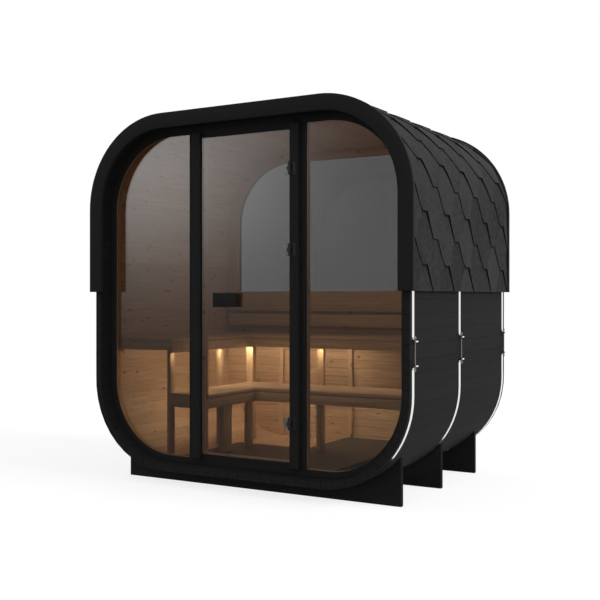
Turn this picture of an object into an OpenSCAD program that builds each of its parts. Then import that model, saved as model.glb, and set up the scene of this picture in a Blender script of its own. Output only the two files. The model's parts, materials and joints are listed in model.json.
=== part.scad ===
// Cube sauna: a rounded-square barrel of black timber staves on three cradles,
// a full glass front with a hinged glass door, a half-height rear window and
// two-tier corner benches. Millimetres, +Z up, front towards -Y.
// The origin is the bottom centre of the bounding box.

/* [Body] */
// Width of the stave shell, outside
body_w = 2104; // [1800:1:2600]
// Height of the stave shell, outside
body_h = 2085; // [1900:1:2600]
// Depth of the stave shell, front to rear
body_d = 1510; // [1300:1:2200]
// Outside radius of the four rounded corners
body_r = 520; // [420:1:620]
// Thickness of the staves
stave_t = 42; // [30:1:60]
// Clear height under the middle of the shell
ground_gap = 86; // [60:1:160]

/* [Roof] */
// Thickness of the roof covering with its boards
roof_t = 29; // [20:1:50]
// Height of the roof's lower edge above the ground
roof_edge_z = 1146; // [900:1:1300]
// Thickness of the fascia boards at the two ends
fascia_t = 25; // [15:1:40]
// Width of the fascia's face
fascia_w = 88; // [70:1:140]

/* [Cradles] */
// Length of a cradle board
cradle_l = 1850; // [1500:1:1950]
// Thickness of a cradle board
cradle_t = 28; // [20:1:60]
// Distance of an outer cradle's middle from the end of the shell
cradle_inset = 190; // [120:1:300]

/* [Steel bands] */
// Width of a band
band_w = 28; // [20:1:60]
// Thickness of a band
band_t = 2; // [1:0.5:4]
// Distance of an outer band's middle from the end of the shell
band_inset = 40; // [25:1:80]
// Distance of the middle band in front of the shell's centre
band_shift = 50; // [36:1:120]
// Height of a tensioner's middle above the ground
tension_z = 825; // [700:1:900]
// Length of a tensioner, between the backs of its lugs
tension_l = 126; // [80:1:200]
// How far a lug stands out
lug_out = 24; // [16:1:26]
// Diameter of a threaded rod
rod_d = 8; // [6:1:12]

/* [Front wall] */
// Recess of the frame behind the shell's front end
recess = 88; // [60:1:160]
// Depth of the frame members
frame_d = 45; // [36:1:80]
// Visible width of the frame at the sides
frame_side = 44; // [16:1:60]
// Visible width of the frame over the panes
frame_top = 53; // [24:1:80]
// Visible height of the frame below the panes, above the floor boards
frame_foot = 11; // [0:1:40]
// Thickness of the floor boards
floor_t = 27; // [18:1:45]
// Visible height of the sill below the door, above the frame below the panes
sill_h = 28; // [20:1:60]
// Visible height of the head over the door, below the frame
head_h = 30; // [20:1:80]
// Width of the doorway between the jambs
doorway_w = 612; // [560:1:700]
// Sideways shift of the doorway's middle
doorway_x = -2; // [-60:1:60]
// Width of a mullion
mullion_w = 93; // [80:1:120]
// Width of the jamb batten on a mullion's front
jamb_w = 58; // [40:1:70]
// How far the jamb batten stands in front of the mullion
jamb_out = 28; // [26:1:36]
// Thickness of the glass
glass_t = 8; // [6:1:12]
// Depth of the groove that holds a fixed pane's edge
groove = 10; // [6:1:12]

/* [Door] */
// Running gap around the door
door_gap = 6; // [5:1:8]
// Height of a hinge
hinge_h = 72; // [50:1:100]
// Distance of an end hinge's middle from the end of the glass
hinge_end = 220; // [100:1:300]
// Distance between the middles of the two upper hinges
hinge_pair = 450; // [200:1:600]
// Radius of a hinge knuckle
knuckle_r = 9; // [7:1:11]
// Length of a handle
handle_w = 160; // [120:1:240]
// Height of a handle
handle_h = 82; // [40:1:120]
// Thickness of a handle
handle_t = 24; // [18:1:32]
// Clear space between a handle and the glass
handle_gap = 12; // [10:1:20]
// Height of the handles' middle above the ground
handle_z = 1098; // [900:1:1200]
// Distance of the handles from the side of the doorway
handle_in = 108; // [60:1:200]

/* [Rear wall] */
// Recess of the rear wall from the shell's rear end
rear_recess = 80; // [50:1:150]
// Thickness of the rear wall
rear_t = 45; // [36:1:80]
// Height of the rear window's lower edge above the ground
window_z = 1156; // [900:1:1300]
// Width of the frame beside the rear window
window_side = 84; // [60:1:160]
// Width of the frame over the rear window
window_top = 50; // [40:1:120]

/* [Benches] */
// Height of the upper seat above the ground
upper_z = 860; // [780:1:950]
// Height of the lower seat above the ground
lower_z = 530; // [420:1:560]
// Depth of the upper seat along the left wall
upper_left_d = 428; // [380:1:520]
// Depth of the upper seat along the rear wall
upper_rear_d = 350; // [320:1:440]
// How far the lower seat reaches in front of the upper one
step_d = 240; // [200:1:280]
// Distance of the rear step in front of the upper seat
rear_step_d = 315; // [250:1:330]
// Thickness of the seat boards
seat_t = 27; // [20:1:40]
// Height of the boards under a seat's edges
apron_h = 58; // [40:1:80]
// Height of the board across the upper seat's front end
end_board_h = 43; // [30:1:58]
// Thickness of the boards under the seats
apron_t = 27; // [20:1:40]
// Width of a leg
leg_w = 90; // [60:1:100]
// Thickness of a leg
leg_t = 42; // [30:1:50]
// Gap between the benches and the walls
bench_gap = 6; // [3:1:12]
// Gap between the benches and the glass front
bench_front = 18; // [3:1:40]

/* [Hidden] */
$fn = 48;
EPS = 0.01;
ARC_STEPS = 15;                 // flat staves in a quarter turn
FIT = 0.4;                      // clearance of a fitted edge

shell_z0 = ground_gap;
shell_z1 = ground_gap + body_h;
front_y = -body_d / 2;
rear_y = body_d / 2;

inner_w = body_w - 2 * stave_t;
inner_z0 = shell_z0 + stave_t;
inner_z1 = shell_z1 - stave_t;
inner_r = body_r - stave_t;
flat_x = body_w / 2 - body_r;   // half width of the flat floor and ceiling
low_z = shell_z0 + body_r;      // the upright walls start here
high_z = shell_z1 - body_r;     // and end here

deck_z = inner_z0 + floor_t;
frame_y = front_y + recess;
frame_y1 = frame_y + frame_d;
pane_w = inner_w - 2 * frame_side;
pane_z0 = deck_z + frame_foot;
pane_z1 = inner_z1 - frame_top;
pane_r = inner_r - frame_side;
glass_set = 5;                  // fixed panes behind the frame's front
glass_y = frame_y + glass_set;

jamb_x0 = doorway_x - doorway_w / 2;
jamb_x1 = doorway_x + doorway_w / 2;
door_z0 = pane_z0 + sill_h;
door_z1 = pane_z1 - head_h;

hinge_clear = 2;                // room between a knuckle and the jamb batten
hinge_x = jamb_x1 + knuckle_r - hinge_clear;
hinge_y = frame_y - jamb_out - knuckle_r - hinge_clear;
leaf_t = 4;                     // metal of the hinge halves
clip_w = 34;                    // width of the half that clamps the glass
clip_less = 6;                  // its ends inside those of the half on the jamb
plate_w = 34;                   // reach of the half on the jamb
pin_d = 7;
pin_gap = 1;                    // bore of the turning knuckle over the pin
knuckle_gap = 1;                // room above and below the turning knuckle
stop_lap = 6;                   // how far the frame reaches behind the door's edge
stop_gap = 5;                   // clear space between the door and the frame behind it
hinge_mids = [door_z0 + hinge_end, door_z1 - hinge_end - hinge_pair, door_z1 - hinge_end];
hinge_zs = [for (z = hinge_mids) z - hinge_h / 2];
door_y = frame_y - glass_t / 2 - stop_gap;
handle_x = jamb_x0 + handle_in;
standoff_d = 18;
standoff_in = 30;               // standoffs from the handle's ends

rear_y1 = rear_y - rear_recess;
rear_y0 = rear_y1 - rear_t;
window_w = inner_w - 2 * window_side;
window_z1 = inner_z1 - window_top;
window_r_less = 38;             // window's corner radius under the room's
window_r = inner_r - window_r_less;
rear_glass_set = 22;
rear_glass_y = rear_y0 + rear_glass_set;

room_x0 = -inner_w / 2 + bench_gap;
room_x1 = inner_w / 2 - bench_gap;
room_y0 = frame_y1 + bench_front;
room_y1 = rear_y0 - bench_gap;
upper_x = room_x0 + upper_left_d;       // front edge of the left upper seat
upper_y = room_y1 - upper_rear_d;       // front edge of the rear upper seat
lower_x = upper_x + step_d;
lower_y = upper_y - rear_step_d;
upper_y0 = room_y0;
lower_set = 20;                         // lower seat's front end behind the upper one's
lower_y0 = room_y0 + lower_set;
under_upper = upper_z - seat_t - apron_h;
under_lower = lower_z - seat_t - apron_h;

post_w = 45;                            // posts under the upper seat
post_t = 27;
post_set = 45;                          // their distance behind the upper seat's edge
corner_post_w = 54;                     // the post at the inner corner
lower_wall_x = upper_x - post_set + FIT;    // the lower seat ends at the posts
lower_wall_y = upper_y + post_set - FIT;
lower_end = 40;                         // its right end before the wall
lower_right_x = inner_w / 2 - lower_end;
side_post_ys = [39, 562];               // side posts from the upper seat's front end
rear_post_xs = [494, 1145];             // rear posts from the upper seat's inner corner
side_leg_y = 219;                       // side leg from the lower seat's front end
inner_leg_w = 64;                       // legs at the lower seat's inner corner and rear part
inner_leg_t = 27;
corner_leg_y = 55;                      // the first one's front before the corner
rear_leg_x = 429;                       // the second one's distance right of the corner
batten_w = 34;
batten_t = 20;
batten_xs = [-543, 11, 565];

deck_x = flat_x - 14;                   // half width of the duckboards
deck_step_x = 4;                        // left of this they stop before the rear part
deck_step_y = lower_y + 81;
deck_rear = 32;                         // and right of it this far from the rear wall
backrest_boards = [[156, 292], [48, 134]];  // lower and upper edges above the upper seat
backrest_t = 24;
backrest_out = 22;                      // blocks between the backrest and the wall
backrest_end = 30;                      // boards short of the walls
block_in = 115;                         // outer blocks' middles from the boards' ends
lamp_r = 8;
lamp_t = 6;
lamp_set = 9;
rod_out = 11;                           // distance of a tensioner's rod from the staves
nut_h = 7;
nut_d = 1.8 * rod_d;                    // corner to corner

cradle_ys = [front_y + cradle_inset, 0, rear_y - cradle_inset];
band_ys = [front_y + band_inset, -band_shift, rear_y - band_inset];

// Points of a rounded rectangle that is symmetric about the middle, from z0 to z1
function corner_pts(cx, cz, r, a0) =
    [for (i = [0 : ARC_STEPS]) let (a = a0 + 90 * i / ARC_STEPS) [cx + r * cos(a), cz + r * sin(a)]];
function outline(w, z0, z1, r) = concat(
    corner_pts(w / 2 - r, z1 - r, r, 0),
    corner_pts(-w / 2 + r, z1 - r, r, 90),
    corner_pts(-w / 2 + r, z0 + r, r, 180),
    corner_pts(w / 2 - r, z0 + r, r, 270));

// Draws a flat X-Z shape and gives it depth from y0 to y1
module slab_y(y0, y1) {
    translate([0, y1, 0]) rotate([90, 0, 0]) linear_extrude(y1 - y0) children();
}

// A box by its two opposite corners
module box(a, b) {
    translate(a) cube(b - a);
}

module body_outline(grow = 0) {
    polygon(outline(body_w + 2 * grow, shell_z0 - grow, shell_z1 + grow, body_r + grow));
}

module room_outline() {
    polygon(outline(inner_w, inner_z0, inner_z1, inner_r));
}

module pane_outline(grow = 0) {
    polygon(outline(pane_w + 2 * grow, pane_z0 - grow, pane_z1 + grow, pane_r + grow));
}

// Keeps what lies between two X and two Z limits of a flat shape
module clip_2d(x0, x1, z0, z1) {
    intersection() {
        children();
        translate([x0, z0]) square([x1 - x0, z1 - z0]);
    }
}

// A quarter ring of staves; side is -1 or 1 in X, up is -1 or 1 in Z
module quarter_ring(side, up, r_out, r_in, y0, y1) {
    cz = up > 0 ? high_z : low_z;
    a0 = up > 0 ? (side > 0 ? 0 : 90) : (side > 0 ? 270 : 180);
    outer = corner_pts(side * flat_x, cz, r_out, a0);
    inner = corner_pts(side * flat_x, cz, r_in, a0);
    slab_y(y0, y1) polygon(concat(outer, [for (i = [ARC_STEPS : -1 : 0]) inner[i]]));
}

// Three boards that carry the shell, each cut out to its round underside
module cradle(y) {
    color("#161616")
    slab_y(y - cradle_t / 2, y + cradle_t / 2) difference() {
        translate([-cradle_l / 2, 0]) square([cradle_l, low_z]);
        body_outline();
    }
}

module shell_flat(z0) {
    color("#1c1c1c") box([-flat_x, front_y, z0], [flat_x, rear_y, z0 + stave_t]);
}

module shell_side(side) {
    x = side * (body_w / 2 - stave_t / 2);
    color("#1c1c1c") box([x - stave_t / 2, front_y, low_z], [x + stave_t / 2, rear_y, high_z]);
}

module shell_corner(side, up) {
    color("#1c1c1c") quarter_ring(side, up, body_r, inner_r, front_y, rear_y);
}

module roof_side(side) {
    x = side * (body_w / 2 + roof_t / 2);
    color("#3a3a3a")
    box([x - roof_t / 2, front_y, roof_edge_z], [x + roof_t / 2, rear_y, high_z]);
}

module roof_top() {
    color("#3a3a3a") box([-flat_x, front_y, shell_z1], [flat_x, rear_y, shell_z1 + roof_t]);
}

module roof_corner(side) {
    color("#3a3a3a") quarter_ring(side, 1, body_r + roof_t, body_r, front_y, rear_y);
}

// The board ring that closes the upper half of one end of the roof
module fascia(y0) {
    color("#1e1e1e")
    slab_y(y0, y0 + fascia_t) clip_2d(-body_w, body_w, roof_edge_z, 2 * body_h) difference() {
        body_outline(roof_t);
        body_outline(roof_t - fascia_w);
    }
}

// Duckboards on the flat part of the floor, left out below the left rear benches
module floor_deck() {
    color("#4a3528") {
        box([-deck_x, frame_y1, inner_z0], [deck_x, deck_step_y, deck_z]);
        box([deck_step_x, deck_step_y, inner_z0], [deck_x, rear_y0 - deck_rear, deck_z]);
    }
}

// Whether an upright's foot stands on the duckboards
function on_deck(x0, x1, y1) = x1 <= deck_x
    && (x0 >= -deck_x && y1 <= deck_step_y || x0 >= deck_step_x && y1 <= rear_y0 - deck_rear);

// A post from the duckboards, or from the shell beside them, up to z1
module upright(x0, x1, y0, y1, z1) {
    z0 = on_deck(x0, x1, y1) ? deck_z : inner_z0;
    slab_y(y0, y1) clip_2d(x0, x1, z0, z1) room_outline();
}

// Half of the ring that holds the glass, from a mullion outwards
module front_frame(side) {
    x_in = side > 0 ? jamb_x1 : -jamb_x0;
    x0 = side > 0 ? x_in : -body_w;
    x1 = side > 0 ? body_w : -x_in;
    color("#1a1a1a") difference() {
        slab_y(frame_y, frame_y1) clip_2d(x0, x1, 0, 2 * body_h) difference() {
            room_outline();
            pane_outline();
        }
        slab_y(glass_y - FIT, glass_y + glass_t + FIT) pane_outline(groove + FIT);
    }
}

module door_sill() {
    color("#1a1a1a") box([jamb_x0, frame_y, inner_z0], [jamb_x1, frame_y1, door_z0 + stop_lap]);
}

module door_head() {
    color("#1a1a1a") box([jamb_x0, frame_y, door_z1 - stop_lap], [jamb_x1, frame_y1, inner_z1]);
}

// An upright between the ring's lower and upper sides, with its jamb batten
module mullion(side) {
    x_door = side > 0 ? jamb_x1 : jamb_x0;
    x_stop = x_door - side * (door_gap + stop_lap);
    x_far = x_door + side * mullion_w;
    x_jamb = x_door + side * jamb_w;
    color("#1c1c1c") difference() {
        union() {
            box([min(x_stop, x_far), frame_y, door_z0 + stop_lap],
                [max(x_stop, x_far), frame_y1, door_z1 - stop_lap]);
            box([min(x_door, x_far), frame_y, pane_z0], [max(x_door, x_far), frame_y1, pane_z1]);
            box([min(x_door, x_jamb), frame_y - jamb_out, pane_z0],
                [max(x_door, x_jamb), frame_y + EPS, pane_z1]);
        }
        box([min(x_far - side * (groove + FIT), x_far + side), glass_y - FIT, pane_z0 - 1],
            [max(x_far - side * (groove + FIT), x_far + side), glass_y + glass_t + FIT, pane_z1 + 1]);
    }
}

module glass_pane(side) {
    x_far = (side > 0 ? jamb_x1 : jamb_x0) + side * (mullion_w - groove);
    x0 = side > 0 ? x_far : -body_w;
    x1 = side > 0 ? body_w : x_far;
    color("#77706c", 0.5)
    slab_y(glass_y, glass_y + glass_t) clip_2d(x0, x1, 0, 2 * body_h) pane_outline(groove);
}

module door_glass() {
    color("#77706c", 0.5)
    box([jamb_x0 + door_gap, door_y - glass_t / 2, door_z0],
        [jamb_x1 - door_gap, door_y + glass_t / 2, door_z1]);
}

// The halves of the hinges that clamp the glass and turn with it
module door_clips() {
    y1 = door_y - glass_t / 2;
    x1 = jamb_x1 - door_gap;
    color("#c8c8c8") for (z = hinge_zs) {
        z_lo = z + hinge_h / 3 + knuckle_gap;
        z_hi = z + 2 * hinge_h / 3 - knuckle_gap;
        difference() {
            union() {
                box([x1 - clip_w, y1 - leaf_t, z + clip_less], [x1, y1, z + hinge_h - clip_less]);
                box([x1 - leaf_t, hinge_y, z_lo], [x1, y1, z_hi]);
                box([x1 - leaf_t, hinge_y - leaf_t / 2, z_lo], [hinge_x, hinge_y + leaf_t / 2, z_hi]);
                translate([hinge_x, hinge_y, z_lo]) cylinder(r = knuckle_r, h = z_hi - z_lo);
            }
            translate([hinge_x, hinge_y, z]) cylinder(d = pin_d + pin_gap, h = hinge_h);
        }
    }
}

// The halves of the hinges that are screwed to the jamb, with their pins
module hinge_plates() {
    color("#202020") for (z = hinge_zs) {
        translate([hinge_x, hinge_y, z]) cylinder(r = knuckle_r, h = hinge_h / 3);
        translate([hinge_x, hinge_y, z + 2 * hinge_h / 3]) cylinder(r = knuckle_r, h = hinge_h / 3);
        translate([hinge_x, hinge_y, z]) cylinder(d = pin_d, h = hinge_h);
        for (dz = [0, 2 * hinge_h / 3])
            box([hinge_x, frame_y - jamb_out - leaf_t, z + dz],
                [hinge_x + plate_w, frame_y - jamb_out, z + dz + hinge_h / 3]);
        box([hinge_x + knuckle_r + hinge_clear, frame_y - jamb_out - leaf_t, z],
            [hinge_x + plate_w, frame_y - jamb_out, z + hinge_h]);
    }
}

// A handle with its two round standoffs; side is -1 outside and 1 inside
module door_handle(side) {
    y_glass = door_y + side * glass_t / 2;
    y_near = y_glass + side * handle_gap;
    y_far = y_near + side * handle_t;
    box([handle_x, min(y_near, y_far), handle_z - handle_h / 2],
        [handle_x + handle_w, max(y_near, y_far), handle_z + handle_h / 2]);
    for (x = [handle_x + standoff_in, handle_x + handle_w - standoff_in])
        translate([x, max(y_glass, y_near), handle_z]) rotate([90, 0, 0])
        cylinder(d = standoff_d, h = handle_gap);
}

module rear_wall_boards() {
    color("#8a6a48")
    slab_y(rear_y0, rear_y1) clip_2d(-body_w, body_w, inner_z0, window_z) room_outline();
}

// The arched frame around the rear window, above the boards
module rear_window_frame() {
    color("#1a1a1a") difference() {
        slab_y(rear_y0, rear_y1) clip_2d(-body_w, body_w, window_z, 2 * body_h) difference() {
            room_outline();
            polygon(outline(window_w, 0, window_z1, window_r));
        }
        slab_y(rear_glass_y - FIT, rear_glass_y + glass_t + FIT)
        polygon(outline(window_w + 2 * (groove + FIT), 0, window_z1 + groove + FIT, window_r + groove));
    }
}

module rear_window_glass() {
    color("#77706c", 0.5)
    slab_y(rear_glass_y, rear_glass_y + glass_t) clip_2d(-body_w, body_w, window_z, 2 * body_h)
    polygon(outline(window_w + 2 * groove, 0, window_z1 + groove, window_r + groove));
}

// Uprights on the inside of the rear wall, under the backrest and between the seats
module rear_wall_battens() {
    color("#9a7850") for (x = batten_xs)
        upright(x - batten_w / 2, x + batten_w / 2, rear_y0 - batten_t, rear_y0, under_upper - FIT);
}

// An L-shaped seat: along the left wall and then along the rear wall
module l_seat(x_edge, y_edge, x_wall, x_right, y_start, y_wall, z) {
    box([x_wall, y_start, z - seat_t], [x_edge, y_edge - FIT, z]);
    box([x_wall, y_edge, z - seat_t], [x_right, y_wall, z]);
}

// The three boards under an L-shaped seat's open edges; end_h is the height of the one
// across the front end
module l_apron(x_edge, y_edge, x_wall, x_right, y_start, z, end_h) {
    z0 = z - seat_t - apron_h;
    z1 = z - seat_t;
    box([x_edge - apron_t, y_start, z0], [x_edge, y_edge - FIT, z1]);
    box([x_edge - apron_t, y_edge, z0], [x_right, y_edge + apron_t, z1]);
    box([x_wall, y_start, z1 - end_h], [x_edge - apron_t - FIT, y_start + apron_t, z1]);
}

module upper_bench_seats() {
    color("#8a6440")
    l_seat(upper_x, upper_y, room_x0, room_x1, upper_y0, room_y1, upper_z);
}

module upper_bench_frame() {
    z0 = under_upper;
    z1 = upper_z - seat_t;
    color("#6a4a34") {
        l_apron(upper_x, upper_y, room_x0, room_x1, upper_y0, upper_z, end_board_h);
        box([-inner_w / 2, upper_y0 + apron_t + FIT, z0], [-inner_w / 2 + apron_t, rear_y0, z1]);
        box([-inner_w / 2 + apron_t + FIT, rear_y0 - apron_t, z0], [inner_w / 2, rear_y0, z1]);
        box([inner_w / 2 - apron_t, upper_y + apron_t + FIT, z0],
            [inner_w / 2, rear_y0 - apron_t - FIT, z1]);
    }
}

module lower_bench_seats() {
    color("#a07a50")
    l_seat(lower_x, lower_y, lower_wall_x, lower_right_x, lower_y0, lower_wall_y, lower_z);
}

module lower_bench_frame() {
    z0 = under_lower;
    z1 = lower_z - seat_t;
    color("#5a3e2c") {
        l_apron(lower_x, lower_y, lower_wall_x, lower_right_x, lower_y0, lower_z, apron_h);
        box([lower_wall_x, lower_y0 + apron_t + FIT, z0], [lower_wall_x + apron_t, lower_wall_y, z1]);
        box([lower_wall_x + apron_t + FIT, lower_wall_y - apron_t, z0], [lower_right_x, lower_wall_y, z1]);
        slab_y(lower_y + apron_t + FIT, lower_wall_y - apron_t - FIT)
        clip_2d(lower_right_x - apron_t, inner_w / 2, z0, z1) room_outline();
    }
}

// Posts under the upper seat and legs under the lower one
module bench_legs() {
    upper_z0 = upper_z - seat_t;
    lower_z0 = lower_z - seat_t;
    x_post = upper_x - post_set;
    y_post = upper_y + post_set;
    x_leg = lower_x - apron_t - FIT;
    y_leg = lower_y + apron_t + FIT;
    color("#5a3e2c") {
        for (y = side_post_ys)
            upright(x_post - post_t, x_post, upper_y0 + y, upper_y0 + y + post_w, upper_z0);
        upright(x_post - post_t, x_post - post_t + corner_post_w, y_post, y_post + post_w, upper_z0);
        for (x = rear_post_xs)
            upright(upper_x + x, upper_x + x + post_w, y_post, y_post + post_t, upper_z0);
        upright(x_leg - leg_t, x_leg, lower_y0 + side_leg_y, lower_y0 + side_leg_y + leg_w, lower_z0);
        upright(x_leg - inner_leg_t, x_leg, lower_y - corner_leg_y, lower_y - corner_leg_y + inner_leg_w,
            lower_z0);
        upright(lower_x + rear_leg_x, lower_x + rear_leg_x + inner_leg_t, y_leg, y_leg + inner_leg_w,
            lower_z0);
    }
}

// Two boards on upright blocks, on the rear wall above the upper seat
module backrest() {
    x_end = inner_w / 2 - backrest_end;
    x_block = x_end - block_in;
    y_block = rear_y0 - backrest_out;
    color("#6e4c34") {
        for (zs = backrest_boards)
            box([-x_end, y_block - backrest_t, upper_z + zs[0]], [x_end, y_block, upper_z + zs[1]]);
        for (x = [-x_block, 0, x_block])
            box([x - batten_w / 2, y_block + FIT, upper_z + backrest_boards[1][0]],
                [x + batten_w / 2, rear_y0, upper_z + backrest_boards[0][1]]);
    }
}

// Small round lamps on the underside of the upper seat, one beside or before each post
module bench_lights() {
    x_post = upper_x - post_set;
    y_lamp = upper_y + post_set - lamp_set;
    color("#f2d9a8") {
        lamp(x_post + lamp_set, upper_y0 + side_post_ys[0] + post_w / 2);
        lamp(x_post + lamp_set, upper_y0 + side_post_ys[1] - lamp_set);
        lamp(x_post - post_t + corner_post_w / 2, y_lamp);
        for (x = rear_post_xs) lamp(upper_x + x + post_w / 2, y_lamp);
    }
}

module lamp(x, y) {
    translate([x, y, upper_z - seat_t - lamp_t]) cylinder(r = lamp_r, h = lamp_t);
}

// A steel band under the shell and up both sides to the roof, with a threaded
// tensioner between two turned-out lugs on each side
module steel_band(y) {
    z_lo = tension_z - tension_l / 2;
    z_hi = tension_z + tension_l / 2;
    color("#d8d8d8") {
        slab_y(y - band_w / 2, y + band_w / 2) difference() {
            clip_2d(-body_w, body_w, 0, z_lo) difference() {
                body_outline(band_t);
                body_outline();
            }
        }
        for (side = [-1, 1]) {
            x_in = side * body_w / 2;
            x_out = x_in + side * band_t;
            x_lug = x_in + side * lug_out;
            box([min(x_in, x_out), y - band_w / 2, z_hi], [max(x_in, x_out), y + band_w / 2, roof_edge_z]);
            for (z = [z_lo - band_t, z_hi])
                box([min(x_in, x_lug), y - band_w / 2, z], [max(x_in, x_lug), y + band_w / 2, z + band_t]);
            translate([x_in + side * rod_out, y, z_lo - band_t - nut_h])
            cylinder(d = rod_d, h = tension_l + 2 * (band_t + nut_h));
            for (z = [z_lo - band_t - nut_h, z_hi + band_t])
                translate([x_in + side * rod_out, y, z]) cylinder(d = nut_d, h = nut_h, $fn = 6);
        }
    }
}

cradle(cradle_ys[0]);  // cradle_front
cradle(cradle_ys[1]);  // cradle_middle
cradle(cradle_ys[2]);  // cradle_rear
shell_flat(shell_z0);  // shell_floor
shell_side(-1);  // shell_left
shell_side(1);  // shell_right
shell_flat(shell_z1 - stave_t);  // shell_ceiling
shell_corner(-1, -1);  // shell_corner_low_left
shell_corner(1, -1);  // shell_corner_low_right
shell_corner(-1, 1);  // shell_corner_high_left
shell_corner(1, 1);  // shell_corner_high_right
roof_side(-1);  // roof_left
roof_side(1);  // roof_right
roof_top();
roof_corner(-1);  // roof_corner_left
roof_corner(1);  // roof_corner_right
fascia(front_y - fascia_t);  // fascia_front
fascia(rear_y);  // fascia_rear
floor_deck();
front_frame(-1);  // front_frame_left
front_frame(1);  // front_frame_right
door_sill();
door_head();
mullion(-1);  // mullion_left
mullion(1);  // mullion_right
glass_pane(-1);  // glass_left
glass_pane(1);  // glass_right
door_glass();
door_clips();
color("#161616") door_handle(-1);  // door_handle_outer
color("#7a5638") door_handle(1);  // door_handle_inner
hinge_plates();
rear_wall_boards();
rear_window_frame();
rear_window_glass();
rear_wall_battens();
upper_bench_seats();
upper_bench_frame();
lower_bench_seats();
lower_bench_frame();
bench_legs();
backrest();
bench_lights();
steel_band(band_ys[0]);  // band_front
steel_band(band_ys[1]);  // band_middle
steel_band(band_ys[2]);  // band_rear
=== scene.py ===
"""A black cube sauna: staves round a rounded square, hexagon shingles, a glass front and two-tier benches."""
import json
import math

import bpy
import numpy as np
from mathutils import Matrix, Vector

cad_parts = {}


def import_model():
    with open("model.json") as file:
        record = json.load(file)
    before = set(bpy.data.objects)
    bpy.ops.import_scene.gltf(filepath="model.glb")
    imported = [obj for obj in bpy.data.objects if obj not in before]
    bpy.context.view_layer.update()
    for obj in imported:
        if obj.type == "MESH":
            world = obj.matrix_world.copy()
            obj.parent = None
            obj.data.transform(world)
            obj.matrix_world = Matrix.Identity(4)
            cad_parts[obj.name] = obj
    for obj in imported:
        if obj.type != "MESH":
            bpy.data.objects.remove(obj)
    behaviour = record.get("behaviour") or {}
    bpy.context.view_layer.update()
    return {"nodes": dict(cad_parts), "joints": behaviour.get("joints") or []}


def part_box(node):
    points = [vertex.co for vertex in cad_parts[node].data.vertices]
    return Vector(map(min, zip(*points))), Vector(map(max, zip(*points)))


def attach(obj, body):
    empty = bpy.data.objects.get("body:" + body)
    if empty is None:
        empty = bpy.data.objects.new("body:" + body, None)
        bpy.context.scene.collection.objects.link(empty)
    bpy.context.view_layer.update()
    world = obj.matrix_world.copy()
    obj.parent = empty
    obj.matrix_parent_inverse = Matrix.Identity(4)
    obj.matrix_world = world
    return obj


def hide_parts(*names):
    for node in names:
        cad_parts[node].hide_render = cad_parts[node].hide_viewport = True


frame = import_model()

MM = 0.001
JOINT = 0.01 * MM                                  # play of a tongued joint
CREASE = math.radians(30)                          # faces that meet at less than this look smooth
rng = np.random.default_rng(11)


# ---------------- sizes taken from the frame

def limits(*nodes):
    """Lowest and highest corner of some CAD nodes together."""
    ends = np.array([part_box(n) for n in nodes])
    return ends[:, 0].min(0), ends[:, 1].max(0)


def extent(node, axis):
    """How long a CAD node is along an axis."""
    low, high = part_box(node)
    return high[axis] - low[axis]


SHELL_NODES = [n for n in frame["nodes"] if n.startswith("shell_")]
ROOF_NODES = [n for n in frame["nodes"] if n.startswith("roof_")]
BODY_LOW, BODY_HIGH = limits(*SHELL_NODES)
CORNER = extent("shell_corner_low_right", 0)
STAVE_T = extent("shell_floor", 2)
ROOF_T = extent("roof_top", 2)
ROOF_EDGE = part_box("roof_left")[0].z
FASCIA_T = extent("fascia_front", 1)
FASCIA_W = 88 * MM
SILL_LOW, SILL_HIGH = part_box("door_sill")
FRONT_Y, FRAME_Y1 = SILL_LOW.y, SILL_HIGH.y
JAMB_X = (SILL_LOW.x, SILL_HIGH.x)
PANE_LOW, PANE_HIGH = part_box("glass_left")
GLASS_LOW, GLASS_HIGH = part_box("door_glass")
SPLIT_Y = PANE_LOW.y + 4 * MM                      # black stain before this, bare wood behind it
REAR_LOW, REAR_HIGH = limits("rear_wall_boards")
REAR_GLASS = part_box("rear_window_glass")
REAR_SPLIT = 0.5 * (REAR_GLASS[0].y + REAR_GLASS[1].y)
GROOVE = 10 * MM                                   # how deep a pane stands in its frame

# A rounded outline is (half width, lowest z, highest z, corner radius)
BODY = (BODY_HIGH[0], BODY_LOW[2], BODY_HIGH[2], CORNER)
ROOM = (BODY[0] - STAVE_T, BODY[1] + STAVE_T, BODY[2] - STAVE_T, CORNER - STAVE_T)
PANE_HALF = 0.5 * (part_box("glass_right")[1].x - PANE_LOW.x) - GROOVE
PANE = (PANE_HALF, PANE_LOW.z + GROOVE, PANE_HIGH.z - GROOVE, ROOM[3] - (ROOM[0] - PANE_HALF))
WINDOW_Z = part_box("rear_window_frame")[0].z
WINDOW_ARCH = 38 * MM                              # how much smaller its radius is than the room's
WINDOW = (REAR_GLASS[1].x - GROOVE, 0.0, REAR_GLASS[1].z - GROOVE, ROOM[3] - WINDOW_ARCH)


# ---------------- outlines

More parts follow.
